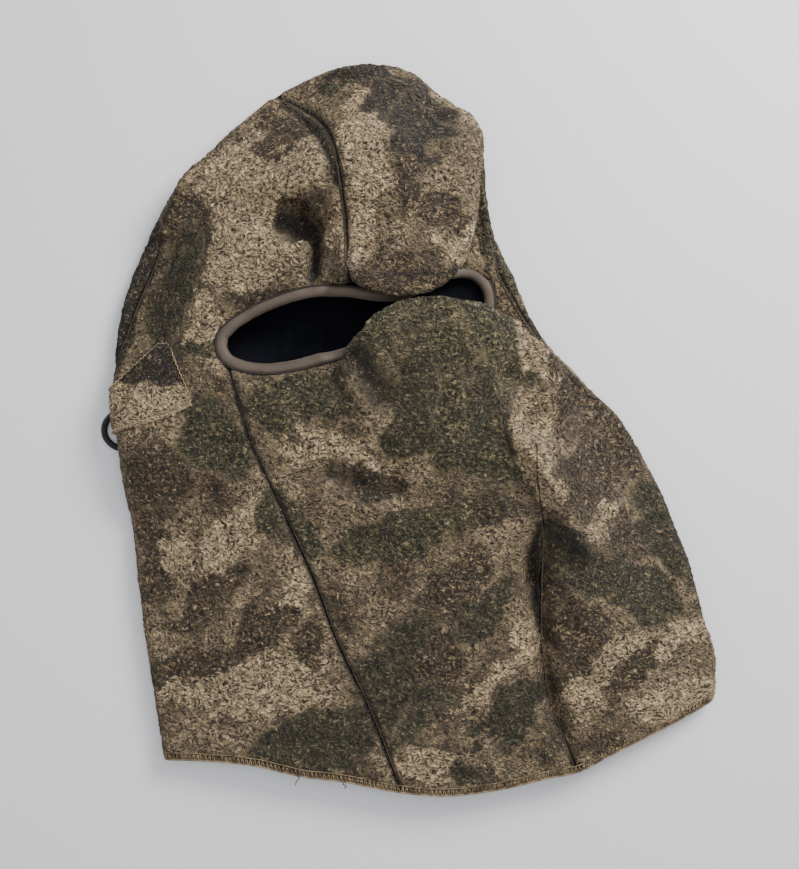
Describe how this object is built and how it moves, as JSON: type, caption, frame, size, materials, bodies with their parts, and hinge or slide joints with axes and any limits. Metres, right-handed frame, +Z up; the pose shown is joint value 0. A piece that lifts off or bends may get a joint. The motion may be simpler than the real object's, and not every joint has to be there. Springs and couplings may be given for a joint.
{
  "type": "balaclava",
  "caption": "Fleece balaclava with an eye opening and a long bib, lying double on its back, with a drawcord, side tabs and a cord lock.",
  "frame": {"origin": "on the ground under the middle of the hood's box as it lies on its back", "axes": "+Z up from the ground, +Y towards the crown, +X towards the side with the long bib corner"},
  "size_m": [0.3881, 0.456, 0.0755],
  "materials": {
    "camouflage_fleece": "curly pile, camouflage",
    "black_lining": "smooth brushed knit",
    "taupe_binding": "smooth stretch tape",
    "overlock_thread": "looped thread",
    "seam_thread": "matt thread",
    "tab_fleece": "curly pile",
    "label_satin": "woven satin, blank",
    "black_elastic": "braided elastic",
    "black_acetal": "fine matt",
    "spring_steel": "drawn wire"
  },
  "bodies": {
    "hood": {"fleece_side_left": "camouflage_fleece", "fleece_side_right": "camouflage_fleece", "fleece_front": "camouflage_fleece", "fleece_back": "camouflage_fleece", "lining_side_left": "black_lining", "lining_side_right": "black_lining", "lining_front": "black_lining", "lining_back": "black_lining", "eye_binding": "taupe_binding", "hem_overlock": "overlock_thread", "seam_thread_centre": "seam_thread", "seam_thread_front_left": "seam_thread", "seam_thread_front_right": "seam_thread", "seam_thread_back_left": "seam_thread", "seam_thread_back_right": "seam_thread", "cord_tab_left": "tab_fleece", "cord_tab_right": "tab_fleece", "care_label": "label_satin", "drawcord": "black_elastic"},
    "cord_lock": {"lock_housing": "black_acetal", "lock_spring": "spring_steel"},
    "lock_button": {"lock_plunger": "black_acetal"}
  },
  "joints": [
    {"name": "cord_lock_slide", "type": "slide", "parent": "hood", "child": "cord_lock", "axis": [1, 0, 0], "range_m": [-0.008, 0.008]},
    {"name": "lock_button_press", "type": "slide", "parent": "cord_lock", "child": "lock_button", "axis": [0, -1, 0], "range_m": [0, 0.003], "stiffness_N_per_m": 250, "springref_m": -0.003, "deforming": ["lock_spring"]}
  ]
}
